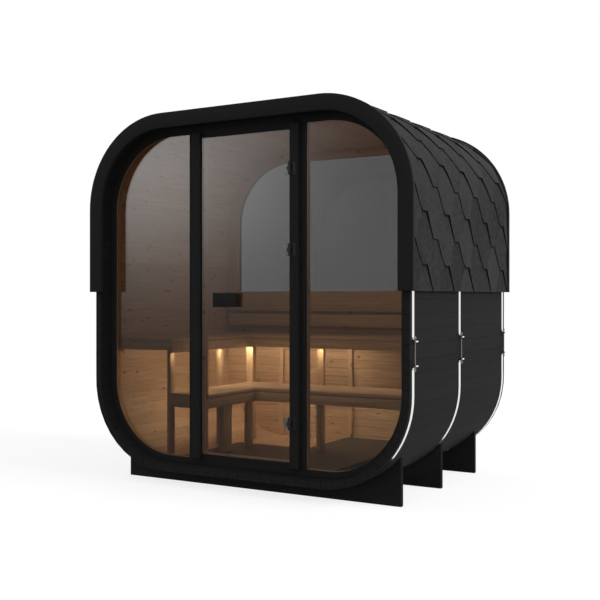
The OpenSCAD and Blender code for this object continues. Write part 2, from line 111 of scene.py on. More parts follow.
def rim(t, out=0.0, outline=BODY):
    """Points (x, z) of a rounded outline moved outwards by out. t counts its ten stretches from the
    middle of the bottom, anticlockwise from the front: half the bottom, a quarter arc, a side, a
    quarter arc, half the top, and the same mirrored. A flat's point is its share of the way, and an
    arc's is its centre plus the grown radius in the direction of the share of a right angle."""
    half, low, high, radius = outline
    t, out = np.broadcast_arrays(np.asarray(t, float), np.asarray(out, float))
    near = np.where(t > 5, 10 - t, t)
    stretch = np.clip(np.floor(near), 0, 4)
    share = near - stretch
    turn = share * math.pi / 2
    flat, r = half - radius, radius + out
    z_low, z_high = low + radius, high - radius
    xs = [flat * share, flat + r * np.sin(turn), flat + r, flat + r * np.cos(turn), flat * (1 - share)]
    zs = [z_low - r, z_low - r * np.cos(turn), z_low + (z_high - z_low) * share,
          z_high + r * np.sin(turn), z_high + r]
    x = np.choose(stretch.astype(int), xs)
    return np.where(t > 5, -x, x), np.choose(stretch.astype(int), zs)


def rim_lengths(out=0.0):
    """How far along the body's outline, grown by out, each of its eleven stretch ends is."""
    half, low, high, radius = BODY
    flat, arc, side = half - radius, (radius + out) * math.pi / 2, high - low - 2 * radius
    lengths = [flat, arc, side, arc, flat]
    return np.concatenate([[0], np.cumsum(lengths + lengths[::-1])])


def rim_at(length, out=0.0):
    """The t that lies this far along the body's outline grown by out."""
    return np.interp(length, rim_lengths(out), np.arange(11))


def side_t(z):
    """The t on the straight stretch of the body's right side at height z."""
    _, low, high, radius = BODY
    return 2 + (z - low - radius) / (high - low - 2 * radius)


def smooth_ts(t0, t1, arc_steps=16):
    """Values of t from t0 to t1 with both ends of every flat, and arc_steps pieces in each arc."""
    arcs = (np.linspace(k, k + 1, arc_steps + 1) for k in (1, 3, 6, 8))
    ts = np.unique(np.concatenate([[5.0], *arcs]))
    return np.concatenate([[t0], ts[(ts > t0 + 1e-4) & (ts < t1 - 1e-4)], [t1]])


# ---------------- surfaces

def outward(verts, faces):
    """The faces, turned round if the volume that they enclose comes out negative."""
    volume = 0.0
    for f in faces:
        p = verts[f]
        volume += np.einsum("ij,ij->", np.cross(p[:, 1:-1], p[:, 2:]).reshape(-1, 3),
                            np.repeat(p[:, :1], p.shape[1] - 2, 1).reshape(-1, 3))
    return [f[:, ::-1] for f in faces] if volume < 0 else faces, volume < 0


def part(verts, faces, uvs, mats, tones):
    """One shape: vertices, a list of face arrays with the same number of corners in each, and for each
    array its corners' UVs, its faces' materials and its faces' tones."""
    faces, turned = outward(verts, faces)
    return {"verts": verts, "faces": faces, "uvs": [u[:, ::-1] if turned else u for u in uvs],
            "mats": mats, "tones": tones}


def squares(grids):
    """The four corners of each square of some grids, in order round it, along a new fourth axis."""
    return np.stack([grids[:, :-1, :-1], grids[:, :-1, 1:], grids[:, 1:, 1:], grids[:, 1:, :-1]], 3)


def tubes(rings, mat=0, cap=None):
    """Closed bars. rings[b, r, m] is corner m of bar b's cross-section r: neighbouring cross-sections
    are joined by quads, and the first and last are closed. UV u runs along the bar and v around it, in
    metres, from a random start on each bar, and each bar has one random tone. mat is one material or
    one for each side of a cross-section, by quad (r, m)."""
    rings = np.asarray(rings, float)
    bars_n, rings_n, m_n, _ = rings.shape
    index = np.arange(bars_n * rings_n * m_n).reshape(bars_n, rings_n, m_n)
    quads = squares(np.concatenate([index, index[:, :, :1]], 2))
    middle = rings[:, rings_n // 2]
    none = np.zeros((bars_n, 1))
    steps = np.linalg.norm(np.diff(rings.mean(2), axis=1), axis=-1)
    turns = np.linalg.norm(np.roll(middle, -1, 1) - middle, axis=-1)
    u = np.concatenate([none, np.cumsum(steps, 1)], 1) + rng.uniform(0, 40, (bars_n, 1))
    v = np.concatenate([none, np.cumsum(turns, 1)], 1) + rng.uniform(0, 40, (bars_n, 1))
    quad_uv = squares(np.stack(np.broadcast_arrays(u[:, :, None], v[:, None, :]), -1))
    caps = np.concatenate([index[:, 0, ::-1], index[:, -1]])
    end_uv = (rings[:, [0, -1]] - middle.mean(1)[:, None, None])[..., [0, 2]] + u[:, :1, None, None]
    cap_uv = np.concatenate([end_uv[:, 0, ::-1], end_uv[:, 1]])
    tone = rng.uniform(0, 1, bars_n)
    mats = np.broadcast_to(mat, quads.shape[:3]).reshape(-1)
    cap_mats = np.full(len(caps), mats[0] if cap is None else cap)
    return part(rings.reshape(-1, 3), [quads.reshape(-1, 4), caps], [quad_uv.reshape(-1, 4, 2), cap_uv],
                [mats, cap_mats], [np.repeat(tone, (rings_n - 1) * m_n), np.tile(tone, 2)])


def slab(top, bottom, mats, tone=None):
    """A closed sheet between two grids of points: its top, its underside and the four edges. mats are
    the top's, the underside's and the edges'. tone is one number, or one for each top quad."""
    n, m, _ = top.shape
    index = np.arange(2 * n * m).reshape(2, n, m)
    over, under = squares(index).reshape(2, -1, 4)
    loops = [np.concatenate([g[0], g[1:, -1], g[-1, -2::-1], g[-2:0:-1, 0]]) for g in index]
    edge = np.stack([loops[0], loops[1], np.roll(loops[1], -1), np.roll(loops[0], -1)], -1)
    faces = np.concatenate([over, under[:, ::-1], edge])
    verts = np.concatenate([top.reshape(-1, 3), bottom.reshape(-1, 3)])
    flat_uv = np.stack([verts[:, 1], verts[:, 2] + verts[:, 0]], -1)
    tones = np.full(len(faces), 0.5)
    tones[:len(over)] = rng.uniform(0, 1) if tone is None else np.ravel(tone)
    order = np.repeat(mats, [len(over), len(under), len(edge)])
    return part(verts, [faces], [flat_uv[faces]], [order], [tones])


def piece(name, parts, materials, replaces=(), body="cabin"):
    """One mesh object at the origin from some parts, riding on a body. Its faces keep their UVs, their
    materials and, in an attribute, their tones."""
    parts = parts if isinstance(parts, list) else [parts]
    starts = np.cumsum([0] + [len(p["verts"]) for p in parts])
    faces = [row for p, start in zip(parts, starts) for f in p["faces"] for row in (f + start).tolist()]
    uvs, mats, tones = ([array for p in parts for array in p[key]] for key in ("uvs", "mats", "tones"))
    mesh = bpy.data.meshes.new(name)
    mesh.from_pydata(np.concatenate([p["verts"] for p in parts]), [], faces)
    mesh.uv_layers.new(name="grain").data.foreach_set(
        "uv", np.concatenate([uv.ravel() for uv in uvs]).astype(np.float32))
    mesh.polygons.foreach_set("material_index", np.concatenate(mats).astype(np.int32))
    mesh.attributes.new("tone", "FLOAT", "FACE").data.foreach_set(
        "value", np.concatenate(tones).astype(np.float32))
    mesh.polygons.foreach_set("use_smooth", np.ones(len(faces), bool))
    mesh.set_sharp_from_angle(angle=CREASE)
    for material in materials if isinstance(materials, list) else [materials]:
        mesh.materials.append(material)
    mesh.update()
    obj = bpy.data.objects.new(name, mesh)
    bpy.context.scene.collection.objects.link(obj)
    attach(obj, body)
    if replaces:
        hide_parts(*replaces)


# ---------------- boards and bars

def block(xs, ys, zs):
    """A box from its two limits along each axis, which may come in either order."""
    return tuple(zip(sorted(xs), sorted(ys), sorted(zs)))


def eased(low, high, radius, steps=1):
    """Rounded rectangles between low and high, anticlockwise: each corner is an arc of steps pieces
    about a centre that lies one radius inside both of its sides. radius may differ by corner, from
    (low, low) round to (low, high)."""
    low, high = np.asarray(low, float)[..., None, None, :], np.asarray(high, float)[..., None, None, :]
    radius = (np.asarray(radius) * np.ones(4))[:, None, None]
    angle = np.radians(np.arange(4)[:, None] * 90 + 180 + np.linspace(0, 90, steps + 1))[..., None]
    right = np.array([[0, 0], [1, 0], [1, 1], [0, 1]])[:, None, :]
    centre = np.where(right == 1, high - radius, low + radius)
    points = centre + radius * np.concatenate([np.cos(angle), np.sin(angle)], -1)
    return points.reshape(*points.shape[:-3], 4 * (steps + 1), 2)


def tapered(low, high, radius, steps, end):
    """A rounded rectangle, and the one that closes a board's end: smaller by end all round."""
    small = np.maximum(np.asarray(radius) - end, 0.1 * MM)
    return eased(low, high, radius, steps), eased(np.add(low, end), np.subtract(high, end), small, steps)


def bars(boxes, axis, radius=2 * MM, steps=1, mat=0, end=1.5 * MM):
    """Straight boards with eased edges. boxes are pairs of corners, and axis (0, 1 or 2) is the
    direction that they run in. Each is a rounded rectangle carried along it, with a smaller one at
    both ends."""
    boxes = np.asarray(boxes, float).reshape(-1, 2, 3)
    a, b = (axis + 1) % 3, (axis + 2) % 3
    full, small = tapered(boxes[:, 0][:, [a, b]], boxes[:, 1][:, [a, b]], radius, steps, end)
    rings = np.zeros((len(boxes), 4, full.shape[1], 3))
    for k, section in enumerate([small, full, full, small]):
        rings[:, k, :, a], rings[:, k, :, b] = section[..., 0], section[..., 1]
    start, stop = boxes[:, 0, axis], boxes[:, 1, axis]
    rings[..., axis] = np.stack([start, start + end, stop - end, stop], 1)[:, :, None]
    return tubes(rings, mat)


def split(box, axis, count, gap):
    """A box cut into count boards side by side along axis, with a gap between them."""
    low, high = np.array(box, float)
    width = (high[axis] - low[axis] - gap * (count - 1)) / count
    boxes = np.array([(low, high)] * count)
    boxes[:, 0, axis] = low[axis] + np.arange(count) * (width + gap)
    boxes[:, 1, axis] = boxes[:, 0, axis] + width
    return list(boxes)


def corners(node):
    """The corner points of a CAD node's mesh."""
    mesh = frame["nodes"][node].data
    points = np.zeros(len(mesh.vertices) * 3, np.float32)
    mesh.vertices.foreach_get("co", points)
    return points.reshape(-1, 3).astype(float)


def solid_boxes(node):
    """The box of each separate solid of a CAD node: triangles that share a corner belong together, so
    each corner takes the lowest number in its triangles until no number changes."""
    points = corners(node)
    mesh = frame["nodes"][node].data
    mesh.calc_loop_triangles()
    triangles = np.zeros(len(mesh.loop_triangles) * 3, np.int32)
    mesh.loop_triangles.foreach_get("vertices", triangles)
    places = np.round(points / (0.05 * MM)).astype(np.int64)     # corners this close are one
    _, merged = np.unique(places, axis=0, return_inverse=True)
    merged = merged.ravel()
    triangles = merged[triangles.reshape(-1, 3)]
    label = np.arange(merged.max() + 1)
    before = None
    while not np.array_equal(label, before):
        before = label.copy()
        lowest = label[triangles].min(1)
        for corner in range(3):
            np.minimum.at(label, triangles[:, corner], lowest)
    owner = label[merged]
    boxes = [(points[owner == k].min(0), points[owner == k].max(0)) for k in np.unique(owner)]
    return sorted(boxes, key=lambda box: tuple(np.round(box[0], 4)))


def boards(boxes, radius=2 * MM, steps=1):
    """Bars that each run along their own longest side."""
    return [bars([box], int(np.argmax(np.subtract(box[1], box[0]))), radius, steps) for box in boxes]


def rim_bar(ts, low, high, radius, steps=1):
    """A board bent along the body's outline: a rounded rectangle in (distance outwards, y), carried
    through the values ts, with a smaller one at both ends."""
    end = 1.5 * MM
    full, small = tapered(low, high, radius, steps, end)
    pace = end / rim_lengths()[-1] * 10            # the same way in t, of which the outline has ten
    ts = np.concatenate([[ts[0], ts[0] + pace], ts[1:-1], [ts[-1] - pace, ts[-1]]])
    sections = np.stack([small] + [full] * (len(ts) - 2) + [small])
    x, z = rim(ts[:, None], sections[..., 0])
    return tubes(np.stack([x, sections[..., 1], z], -1)[None])


def frame_bar(ts, ys, outer, inner, mat=0):
    """A frame board between two outlines. At each t the cross-section is a rounded rectangle whose
    width is the distance from the outer outline to the inner one, laid along the line between them."""
    (ox, oz), (ix, iz) = rim(ts, 0, outer), rim(ts, 0, inner)
    width = np.hypot(ix - ox, iz - oz)
    section = eased(np.stack([0 * width, 0 * width + ys[0]], -1), np.stack([width, 0 * width + ys[1]], -1),
                    2 * MM)
    share = section[..., 0] / width[:, None]
    x = ox[:, None] + (ix - ox)[:, None] * share
    z = oz[:, None] + (iz - oz)[:, None] * share
    return tubes(np.stack([x, section[..., 1], z], -1)[None], mat)


def mm(*pairs):
    """A profile that is written in millimetres."""
    return np.array(pairs, float) * MM


def barrel(radius, start, stop, ease):
    """The profile of a cylinder with bevelled ends."""
    return [(radius - ease, start), (radius, start + ease), (radius, stop - ease), (radius - ease, stop)]


def lathe(profile, centres, axis, sides, mat=0):
    """Turned pieces: each (radius, height) of the profile is a circle of that radius about the axis
    through a centre, at that height along it."""
    profile, centres = np.asarray(profile, float), np.asarray(centres, float).reshape(-1, 3)
    angle = np.linspace(0, 2 * math.pi, sides, endpoint=False)
    rings = np.zeros((len(centres), len(profile), sides, 3))
    rings[..., (axis + 1) % 3] = profile[:, :1] * np.cos(angle)
    rings[..., (axis + 2) % 3] = profile[:, :1] * np.sin(angle)
    rings[..., axis] = profile[:, 1:]
    return tubes(rings + centres[:, None, None, :], mat)


# ---------------- materials

def linear(code, share=1.0):
    """The linear colour of an sRGB hex code, or a share of it."""
    parts = [int(code[i:i + 2], 16) / 255 for i in (1, 3, 5)]
    lit = [c / 12.92 if c <= 0.04045 else ((c + 0.055) / 1.055) ** 2.4 for c in parts]
    return (*(share * c for c in lit), 1.0)


def grey(value):
    """A colour with that much of red, green and blue, already linear."""
    return (value, value, value, 1.0)


def add(tree, kind, settings=None, inputs=None, out=0):
    """Adds a node, sets its properties (stops are a ramp's places and colours), fills its inputs with
    values or with other nodes' outputs, and returns one of its own outputs."""
    made = tree.nodes.new("ShaderNode" + kind)
    for key, value in (settings or {}).items():
        if key != "stops":
            setattr(made, key, value)
            continue
        while len(made.color_ramp.elements) < len(value):
            made.color_ramp.elements.new(1.0)
        for element, (place, colour) in zip(made.color_ramp.elements, value):
            element.position = place
            element.color = colour
    for key, value in (inputs or {}).items():
        if isinstance(value, bpy.types.NodeSocket):
            tree.links.new(value, made.inputs[key])
        else:
            made.inputs[key].default_value = value
    return made.outputs[out] if len(made.outputs) else None


def new_material(name):
    """An empty material, and its tree."""
    material = bpy.data.materials.new(name)
    material.use_nodes = True
    material.node_tree.nodes.clear()
    return material, material.node_tree


def finished(material, shader):
    """The material, with a shader joined to its output."""
    add(material.node_tree, "OutputMaterial", inputs={"Surface": shader})
    return material


def grain(tree, streak, length):
    """Wood figure in the grain UV map, u along the board and v across it. Returns streaks of early and
    late wood that are streak wide and length long, fibres 45 mm by 1.4 mm, and knots about 20 mm
    across, in half of the cells of 190 mm by 110 mm."""
    uv = add(tree, "UVMap", {"uv_map": "grain"})
    along, fine, cells = (add(tree, "Mapping", inputs={"Vector": uv, "Scale": (1 / long, 1 / wide, 1)})
                          for long, wide in ((length, streak), (45 * MM, 1.4 * MM), (190 * MM, 110 * MM)))
    streaks = add(tree, "TexNoise", {"noise_dimensions": "2D"},
                  {"Vector": along, "Scale": 1.0, "Detail": 5.0, "Roughness": 0.62, "Distortion": 0.5})
    fibres = add(tree, "TexNoise", {"noise_dimensions": "2D"},
                 {"Vector": fine, "Scale": 1.0, "Detail": 3.0, "Roughness": 0.7})
    distance = add(tree, "TexVoronoi", {"voronoi_dimensions": "2D"}, {"Vector": cells, "Scale": 1.0})
    ring = add(tree, "MapRange", {"interpolation_type": "SMOOTHSTEP"},
               {"Value": distance, "From Min": 0.04, "From Max": 0.1, "To Min": 1.0, "To Max": 0.0})
    some = add(tree, "Math", {"operation": "GREATER_THAN"}, {0: distance.node.outputs["Color"], 1: 0.45})
    knots = add(tree, "Math", {"operation": "MULTIPLY"}, {0: ring, 1: some})
    return streaks, fibres, knots


def wood(name, pale, dark, knot, streak=11 * MM, length=240 * MM, roughness=0.6, gloss=0.35,
         tone_range=0.35, knot_amount=0.75, bump=0.25):
    """Planed softwood with its colours: streaks run from pale to dark, each board has its own tone,
    and knots are mixed in. Fibres and streaks roughen and lift the surface slightly."""
    material, tree = new_material(name)
    streaks, fibres, knots = grain(tree, streak, length)
    tone = add(tree, "Attribute", {"attribute_name": "tone"}, out="Fac")
    figure = add(tree, "MapRange", inputs={"Value": streaks, "From Min": 0.3, "From Max": 0.72})
    shifted = add(tree, "Math", {"operation": "MULTIPLY_ADD", "use_clamp": True},
                  {0: tone, 1: tone_range, 2: figure})
    lowered = add(tree, "Math", {"operation": "SUBTRACT", "use_clamp": True},
                  {0: shifted, 1: tone_range / 2})
    darkness = add(tree, "Math", {"operation": "MULTIPLY_ADD", "use_clamp": True},
                   {0: fibres, 1: 0.2, 2: lowered})
    colour = add(tree, "Mix", {"data_type": "RGBA"}, {0: darkness, 6: linear(pale), 7: linear(dark)}, 2)
    knot_share = add(tree, "Math", {"operation": "MULTIPLY"}, {0: knots, 1: knot_amount})
    knotted = add(tree, "Mix", {"data_type": "RGBA"}, {0: knot_share, 6: colour, 7: linear(knot)}, 2)
    height = add(tree, "Math", {"operation": "MULTIPLY_ADD"}, {0: fibres, 1: 0.5, 2: streaks})
    lift = add(tree, "Bump", inputs={"Strength": bump, "Distance": 0.6 * MM, "Height": height})
    rough = add(tree, "MapRange",
                inputs={"Value": fibres, "To Min": roughness - 0.06, "To Max": roughness + 0.1})
    return finished(material, add(tree, "BsdfPrincipled", inputs={
        "Base Color": knotted, "Roughness": rough, "Specular IOR Level": gloss, "Normal": lift}))


def black_stained_staves():
    """Spruce staves brushed with a matt black stain: the grain just shows, as a slight sheen."""
    return wood("black_stained_staves", "#222222", "#1a1a1a", "#151515", streak=7 * MM, length=300 * MM,
                roughness=0.75, gloss=0.07, tone_range=0.5, knot_amount=0.5, bump=0.35)


def black_painted_frame():
    """Planed pine under an opaque black glaze: smooth, even and a little less open than the staves."""
    return wood("black_painted_frame", "#292929", "#232323", "#1f1f1f", streak=9 * MM, length=400 * MM,
                roughness=0.7, gloss=0.07, tone_range=0.3, knot_amount=0.2, bump=0.15)


def stained_end_grain():
    """Sawn ends of the cradle planks: end grain that drank the stain, matt and darker than the sides."""
    return wood("stained_end_grain", "#1f1f1f", "#191919", "#141414", streak=5 * MM, length=12 * MM,
                roughness=0.85, gloss=0.05, tone_range=0.2, knot_amount=0.0, bump=0.35)


def bare_spruce():
    """Bare planed spruce: pale, with brownish late-wood streaks and red-brown knots."""
    return wood("bare_spruce", "#d2b08e", "#b08c69", "#6b4630", roughness=0.55, gloss=0.3, tone_range=0.6)


def bare_aspen_bench():
    """Bench slats of planed, unfinished aspen: even, pale, with few knots."""
    return wood("bare_aspen_bench", "#c9a884", "#ae8866", "#805a40", streak=14 * MM, length=500 * MM,
                roughness=0.5, gloss=0.3, tone_range=0.4, knot_amount=0.3)


def oiled_deck():
    """Duckboards under dark brown oil: brown, with little contrast and a soft sheen."""
    return wood("oiled_deck", "#5a5049", "#4a423b", "#362f2a", roughness=0.5, gloss=0.35, tone_range=0.3)


def bitumen_granules():
    """Shingle face: slate granules pressed into bitumen, dark grey and matt. The granules are about
    1.5 mm, and are drawn 4 mm coarse, in clumps of 11 mm and clouds of 36 mm, so that they show."""
    material, tree = new_material("bitumen_granules")
    place = add(tree, "TexCoord", out="Object")
    small, cloud = (add(tree, "TexNoise", inputs={"Vector": place, "Scale": 1 / size, "Detail": detail,
                                                  "Roughness": 0.8})
                    for size, detail in ((4 * MM, 2.0), (36 * MM, 3.0)))
    clump = add(tree, "TexVoronoi", inputs={"Vector": place, "Scale": 1 / (11 * MM)})
    tone = add(tree, "Attribute", {"attribute_name": "tone"}, out="Fac")
    mixed = add(tree, "Math", {"operation": "MULTIPLY_ADD"}, {0: cloud, 1: 0.6, 2: small})
    toned = add(tree, "Math", {"operation": "MULTIPLY_ADD"}, {0: tone, 1: 0.22, 2: mixed})
    stops = [(0.62, linear("#222222")), (0.85, linear("#2e2e2e")), (1.0, linear("#3c3c3c"))]
    colour = add(tree, "ValToRGB", {"stops": stops}, {"Fac": toned})
    height = add(tree, "Math", {"operation": "MULTIPLY_ADD"}, {0: clump, 1: 0.5, 2: small})
    lift = add(tree, "Bump", inputs={"Strength": 0.5, "Distance": 1.2 * MM, "Height": height})
    return finished(material, add(tree, "BsdfPrincipled", inputs={
        "Base Color": colour, "Roughness": 0.9, "Specular IOR Level": 0.08, "Normal": lift}))


def cloudy(tree, size, detail, low, high):
    """A colour that varies between two others in clouds of that size, and the clouds themselves."""
    place = add(tree, "TexCoord", out="Object")
    clouds = add(tree, "TexNoise", inputs={"Vector": place, "Scale": 1 / size, "Detail": detail})
    return add(tree, "Mix", {"data_type": "RGBA"}, {0: clouds, 6: low, 7: high}, 2), clouds


def bitumen_edge():
    """The cut edge and underside of a shingle: bare black bitumen."""
    material, tree = new_material("bitumen_edge")
    colour, _ = cloudy(tree, 8 * MM, 3.0, linear("#0b0b0d"), linear("#141416"))
    return finished(material, add(tree, "BsdfPrincipled", inputs={
        "Base Color": colour, "Roughness": 0.8, "Specular IOR Level": 0.15}))


def metal(name, colour, roughness, scratch, stretch=(1, 1, 1)):
    """A bare metal whose colour and roughness vary in scratches of that size, longer along an axis
    where stretch is under 1 and finer where it is over 1."""
    material, tree = new_material(name)
    place = add(tree, "TexCoord", out="Object")
    drawn = add(tree, "Mapping", inputs={"Vector": place, "Scale": stretch})
    lines = add(tree, "TexNoise", inputs={"Vector": drawn, "Scale": 1 / scratch, "Detail": 3.0})
    rough = add(tree, "MapRange",
                inputs={"Value": lines, "To Min": roughness * 0.8, "To Max": roughness * 1.2})
    tint = add(tree, "Mix", {"data_type": "RGBA"},
               {0: lines, 6: linear(colour), 7: linear(colour, 0.86)}, 2)
    lift = add(tree, "Bump", inputs={"Strength": 0.1, "Distance": 0.1 * MM, "Height": lines})
    return finished(material, add(tree, "BsdfPrincipled", inputs={
        "Base Color": tint, "Roughness": rough, "Metallic": 1.0, "Normal": lift}))


def bright_steel_strip():
    """Bright-rolled stainless strip: nearly a mirror, faintly clouded along the strip."""
    return metal("bright_steel_strip", "#f2f1ec", 0.12, 3 * MM, (4, 1, 0.2))


def sheared_steel_edge():
    """The cut edges of the strip: rough, dull and dark beside its bright faces."""
    return metal("sheared_steel_edge", "#4c4a47", 0.6, 1 * MM)


def zinc_plated_steel():
    """Zinc-plated threaded rod, nuts and washers: dull light grey."""
    return metal("zinc_plated_steel", "#9a9590", 0.5, 2 * MM)


def brushed_stainless():
    """Brushed stainless steel of the hinge clamps and lamp rims, brushed upright: satin grey."""
    return metal("brushed_stainless", "#8b9092", 0.5, 0.8 * MM, (6, 6, 0.3))


def black_powder_coat():
    """Textured black powder coat on the hinge plates and standoffs: a soft sheen in 1.2 mm specks."""
    material, tree = new_material("black_powder_coat")
    tint, specks = cloudy(tree, 1.2 * MM, 2.0, linear("#161616"), linear("#161616", 1.35))
    lift = add(tree, "Bump", inputs={"Strength": 0.2, "Distance": 0.2 * MM, "Height": specks})
    return finished(material, add(tree, "BsdfPrincipled", inputs={
        "Base Color": tint, "Roughness": 0.5, "Specular IOR Level": 0.4, "Normal": lift}))


def smoked_glass(name, tint):
    """Smoked sun-control glass: a flat, polished, tinted sheet with a hard coat. Each face lets its
    tint through and mirrors more at a flat angle, by Schlick's rule from 8 per cent head on."""
    material, tree = new_material(name)
    facing = add(tree, "LayerWeight", inputs={"Blend": 0.5}, out="Facing")
    power = add(tree, "Math", {"operation": "POWER"}, {0: facing, 1: 5.0})
    share = add(tree, "Math", {"operation": "MULTIPLY_ADD"}, {0: power, 1: 0.92, 2: 0.08})
    through = add(tree, "BsdfTransparent", inputs={"Color": linear(tint)})
    mirror = add(tree, "BsdfGlossy", inputs={"Color": grey(1.0), "Roughness": 0.0})
    return finished(material, add(tree, "MixShader", inputs={0: share, 1: through, 2: mirror}))


def opal_lens():
    """Frosted lamp lens, lit warm white from behind."""
    material, tree = new_material("opal_lens")
    tint, _ = cloudy(tree, 3 * MM, 2.0, linear("#fff0d0"), linear("#ffe0b0"))
    return finished(material, add(tree, "BsdfPrincipled", inputs={
        "Base Color": tint, "Roughness": 0.5, "Emission Color": linear("#ffd896"),
        "Emission Strength": 6.0}))


BLACK = black_stained_staves()
FRAME_BLACK = black_painted_frame()
END_BLACK = stained_end_grain()
SPRUCE = bare_spruce()
BENCH = bare_aspen_bench()
DECK = oiled_deck()
GRANULES = bitumen_granules()
BITUMEN = bitumen_edge()
STRIP = bright_steel_strip()
CUT_STEEL = sheared_steel_edge()
ZINC = zinc_plated_steel()
STAINLESS = brushed_stainless()
COAT = black_powder_coat()
FRONT_GLASS = smoked_glass("smoked_front_glass", "#d1cfcc")
REAR_GLASS_TINT = smoked_glass("smoked_rear_glass", "#babcc0")
LENS = opal_lens()


# ---------------- shell and roof

FASCIA_Y0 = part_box("fascia_front")[0].y
EDGE_T = side_t(ROOF_EDGE)


def staves():
    """Boards of equal width side by side round the body, from a joint at the middle of the floor up
    both sides. Each is the straight chord between two joints, with small bevels at its long edges, cut
    at the glass planes: black outside and in the two recesses, bare between."""
    pitch, shift, bevel, end = 77.17 * MM, 6 * MM, 1.5 * MM, 2 * MM
    total = rim_lengths()[-1]
    joints = np.arange(1, int(total / 2 / pitch) + 1) * pitch - shift
    joints = np.concatenate([[0], joints, (total - joints)[::-1], [total]])
    a, b = joints[:-1, None] + JOINT, joints[1:, None] - JOINT

    def section(inset):
        """The eight corners of every stave's cross-section, drawn in by inset from its faces and joints."""
        long = np.concatenate([a + inset, a + bevel, b - bevel, b - inset], 1)
        deep = np.array([bevel, inset, inset, bevel])
        there_and_back = np.concatenate([long, long[:, ::-1]], 1)
        return rim(rim_at(there_and_back), np.concatenate([-deep, deep - STAVE_T]))

    ys = [BODY_LOW[1], BODY_LOW[1] + end, SPLIT_Y, REAR_SPLIT, BODY_HIGH[1] - end, BODY_HIGH[1]]
    rings = np.zeros((len(a), len(ys), 8, 3))
    for k, y in enumerate(ys):
        x, z = section(end if k in (0, 5) else 0.0)
        rings[:, k] = np.stack([x, np.full_like(x, y), z], -1)
    mats = np.zeros((1, 5, 8), int)
    mats[:, 2, 4:7] = 1                            # the inner face between the glass planes
    return tubes(rings, mats, cap=2)


piece("wall_staves", staves(), [BLACK, SPRUCE, FRAME_BLACK], SHELL_NODES)

SHINGLE_PERIOD = 312 * MM
SHINGLE_FLAT = 75 * MM
EXPOSURE = 139.5 * MM
SHINGLE_T = 5 * MM
SHINGLE_TOP = ROOF_T - 5.2 * MM                    # how far out the tips are
CURL = 4.8 * MM                                    # rise of odd courses' tips and even courses' notches
ROOF_START = float(np.interp(EDGE_T, np.arange(11), rim_lengths(ROOF_T)))
ROOF_HALF = rim_lengths(ROOF_T)[5] - ROOF_START
ODD_Y, EVEN_Y = 10 * MM, 167 * MM                  # middles of the tips in odd and even courses
SHINGLE_LAP = 20 * MM                              # how far a shingle reaches under the course two above
SHINGLE_AIR = 0.3 * MM                             # the air under a shingle
STARTER_UP = 0.4 * MM                              # how far above the roof's edge the starter begins
SHEET_IN = 0.2 * MM                                # how far the courses stay inside the body's ends


def course_columns(middle):
    """The columns of one course along y, how far its lower edge is above its tips there, and which tab
    each is on: flat tips and notches with straight slopes between, four columns to a slope."""
    half, slope = SHINGLE_FLAT / 2, SHINGLE_PERIOD / 2 - SHINGLE_FLAT
    quarters = np.linspace(0, 1, 5)
    places = np.concatenate([[-half], half + slope * quarters, 3 * half + slope * (1 + quarters[:-1])])
    lifts = EXPOSURE * np.concatenate([[0], quarters, 1 - quarters[:-1]])
    first = math.floor((BODY_LOW[1] - middle) / SHINGLE_PERIOD) - 1
    last = math.ceil((BODY_HIGH[1] - middle) / SHINGLE_PERIOD) + 1
    every = (middle + SHINGLE_PERIOD * np.arange(first, last)[:, None] + places).ravel()
    start, stop = BODY_LOW[1] + SHEET_IN, BODY_HIGH[1] - SHEET_IN
    y = np.concatenate([[start], every[(every > start) & (every < stop)], [stop]])
    lift = np.interp(y, every, np.tile(lifts, last - first))
    return y, lift, np.floor((y - middle) / SHINGLE_PERIOD + 0.5).astype(int)


def course(k, side):
    """Shingles of course k on one side of the roof: a thin sheet on the rounded outline, from its
    zigzag lower edge to under the course two above. A face lies one thickness lower for each exposure
    up from its tips, as it rests on the course below. Odd courses curl up at their tips and even ones
    at their notches: that rise fades over one exposure. Course -1 is the starter, straight and flat."""
    starter = k < 0
    y, lift, tab = course_columns(ODD_Y if k % 2 else EVEN_Y)
    tip = k * EXPOSURE
    low = 0 * lift + STARTER_UP if starter else tip + lift
    rows = np.linspace(0, 1, 9)[:, None]
    s = low * (1 - rows) + min(tip + 2 * EXPOSURE + SHINGLE_LAP, ROOF_HALF) * rows
    height = SHINGLE_TOP - SHINGLE_T / EXPOSURE * (s - tip)
    curl = np.where(lift == 0, 1.0, 0.0) if k % 2 else lift / EXPOSURE
    risen = height + (0 if starter else CURL) * curl * np.clip(1 - (s - low) / EXPOSURE, 0, 1)
    t = rim_at(ROOF_START + s, ROOF_T)
    grids = []
    for face in (risen, height - SHINGLE_T + SHINGLE_AIR):
        x, z = rim(t, face)
        grids.append(np.stack([side * x, np.broadcast_to(y, x.shape), z], -1))
    shade = rng.uniform(0, 1, tab.max() - tab.min() + 1)[tab - tab.min()]
    return slab(*grids, (0, 1, 1), np.broadcast_to(shade[:-1], (8, len(y) - 1)))


def ridge():
    """Caps along the ridge: flat sheets across it, each lapping the next one towards the rear."""
    half, step, lap, thick = 125 * MM, 145 * MM, 95 * MM, 2 * MM
    top = BODY_HIGH[2] + ROOF_T - 0.3 * MM
    caps = []
    for y in np.arange(BODY_LOW[1] + 0.5 * MM, BODY_HIGH[1] - 20 * MM, step):
        length = min(step + lap, BODY_HIGH[1] - 0.5 * MM - y)
        fall = length / step * (thick + 0.2 * MM)
        grids = [np.array([[(-half, y, z), (half, y, z)],
                           [(-half, y + length, z - fall), (half, y + length, z - fall)]])
                 for z in (top, top - thick)]
        caps.append(slab(*grids, (0, 1, 1)))
    return caps


